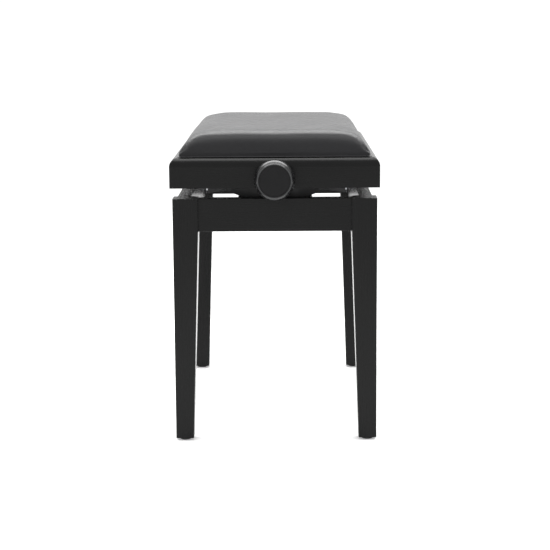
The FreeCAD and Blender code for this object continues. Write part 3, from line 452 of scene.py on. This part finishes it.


# ---- Turning knobs and their caps ----
# Moulded in black plastic round a steel bush and clamped to the spindle by a screw. The
# tool leaves a fine satin texture on the face. A thin light ring round the rim of the face
# is a painted highlight.

knob_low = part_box("knob_right")[0]
rim_radius = 0.0264
rim_width = 0.0009
knob_plastic, shader, place = finish("knob_plastic", {"Specular IOR Level": 0.32})
texture = place.cloudy(2200.0, 2.0, 0.6)
handled = place.cloudy(45.0, 2.0)
flattened = place.node("ShaderNodeMapping", None, {"Vector": place, "Location": (0, 0, -spindle_height),
                                                   "Scale": (1, 0, 1)})
out_from_spindle = flattened.node("ShaderNodeVectorMath", {"operation": "LENGTH"}, {0: flattened}, "Value")
along_spindle = place.node("ShaderNodeSeparateXYZ", None, {"Vector": place}, "Y")
to_front = along_spindle.sum("ABSOLUTE", along_spindle).between(-knob_low.y - 0.0020, -knob_low.y - 0.0006)
# Painted highlight: a thin lighter ring just inside the rim of the front face stands in for the light
# caught on its edge.
painted_rim_highlight = (out_from_spindle.between(rim_radius - rim_width, rim_radius - rim_width + 0.0004)
              * (1 - out_from_spindle.between(rim_radius + 0.0002, rim_radius + 0.0012)) * to_front)
satin = handled.tint((0.0040, 0.0040, 0.0043), (0.0085, 0.0085, 0.0088))
feed(shader, painted_rim_highlight.tint(satin, (0.036, 0.037, 0.038)),
     0.16 + handled * 0.06 + texture * 0.05, texture, 0.00003)
put_on(knob_plastic, "knob_left", "knob_right")

cap_plastic, shader, place = finish("cap_plastic", {"Specular IOR Level": 0.15})
texture = place.cloudy(1700.0, 3.0, 0.65)
handled = place.cloudy(60.0, 2.0)
feed(shader, handled.tint((0.0035, 0.0035, 0.0038), (0.0075, 0.0075, 0.0078)),
     0.42 + handled * 0.10 + texture * 0.10, texture, 0.00006)
put_on(cap_plastic, "knob_cap_left", "knob_cap_right")


# ---- Knob washers ----
# Stamped from black vulcanised fibre, to keep the turning knobs off the lacquer. The
# fibres lie flat, and the stamped edge is rough.

fibre, shader, place = finish("black_fibre", {"Specular IOR Level": 0.3})
strands = place.stretched((1.0, 1.0, 0.2)).cloudy(1500.0, 4.0, 0.7)
feed(shader, strands.tint((0.010, 0.0095, 0.009), (0.034, 0.032, 0.030)), 0.62 + strands * 0.25,
     strands, 0.00012)
put_on(fibre, "knob_washers")


# ---- Floor ----
# A plain pale floor, painted matt, that runs far past the edge of the view. A little light
# of its own keeps it as white as the room behind.

bpy.ops.object.select_all(action="DESELECT")
bpy.ops.mesh.primitive_plane_add(size=80.0)
floor = bpy.context.active_object
floor.name = "floor"
floor_paint, shader, place = finish("floor_paint", {"Specular IOR Level": 0.0, "Roughness": 0.9})
shader.inputs["Emission Strength"].default_value = 0.20
shader.inputs["Emission Color"].default_value = (1.0, 1.0, 1.0, 1)
feed(shader, place.cloudy(2.0).tint((0.90, 0.90, 0.90), (0.93, 0.93, 0.93)))
floor.data.materials.append(floor_paint)


# ---- Studio light ----
# A long soft light overhead and another high behind the bench, two weaker ones low at the
# sides, and a pale room all round.

def soft_light(name, place_of, aim, width, height, power):
    lamp = bpy.data.lights.new(name, "AREA")
    lamp.shape = "RECTANGLE"
    lamp.size, lamp.size_y, lamp.energy = width, height, power
    stand = bpy.data.objects.new(name, lamp)
    bpy.context.scene.collection.objects.link(stand)
    stand.location = place_of
    stand.rotation_euler = (Vector(aim) - Vector(place_of)).to_track_quat("-Z", "Y").to_euler()


soft_light("overhead", (0.0, -0.1, 2.3), (0.0, -0.1, 0.3), 3.0, 1.1, 52.0)
soft_light("behind", (0.0, 1.5, 2.0), (0.0, 0.0, 0.45), 3.0, 1.4, 62.0)
soft_light("right_side", (2.2, 1.6, 0.9), (0.0, 0.0, 0.4), 1.2, 1.4, 15.0)
soft_light("left_side", (-2.2, 1.6, 0.9), (0.0, 0.0, 0.4), 1.2, 1.4, 16.0)
room = bpy.data.worlds.new("pale_room")
room.use_nodes = True
bpy.context.scene.world = room
walls = room.node_tree.nodes["Background"]
walls.inputs["Color"].default_value = (1.0, 1.0, 1.0, 1)
walls.inputs["Strength"].default_value = 1.05


# ---- Camera ----
# A long lens at the height of a seated player's chest, looking along the bench from one end
# and a little down on the cushion.

lens = bpy.data.cameras.new("camera")
lens.lens = 100.74
lens.sensor_width = 36.0
camera = bpy.data.objects.new("camera", lens)
bpy.context.scene.collection.objects.link(camera)
camera.matrix_world = (Matrix.Translation((0.0171, -2.6678, 0.6799))
                       @ Matrix.Rotation(0.0073, 4, "Z")
                       @ Matrix.Rotation(math.pi / 2 - 0.1695, 4, "X")
                       @ Matrix.Rotation(-0.0067, 4, "Z"))
bpy.context.scene.camera = camera
bpy.context.scene.view_settings.view_transform = "Standard"
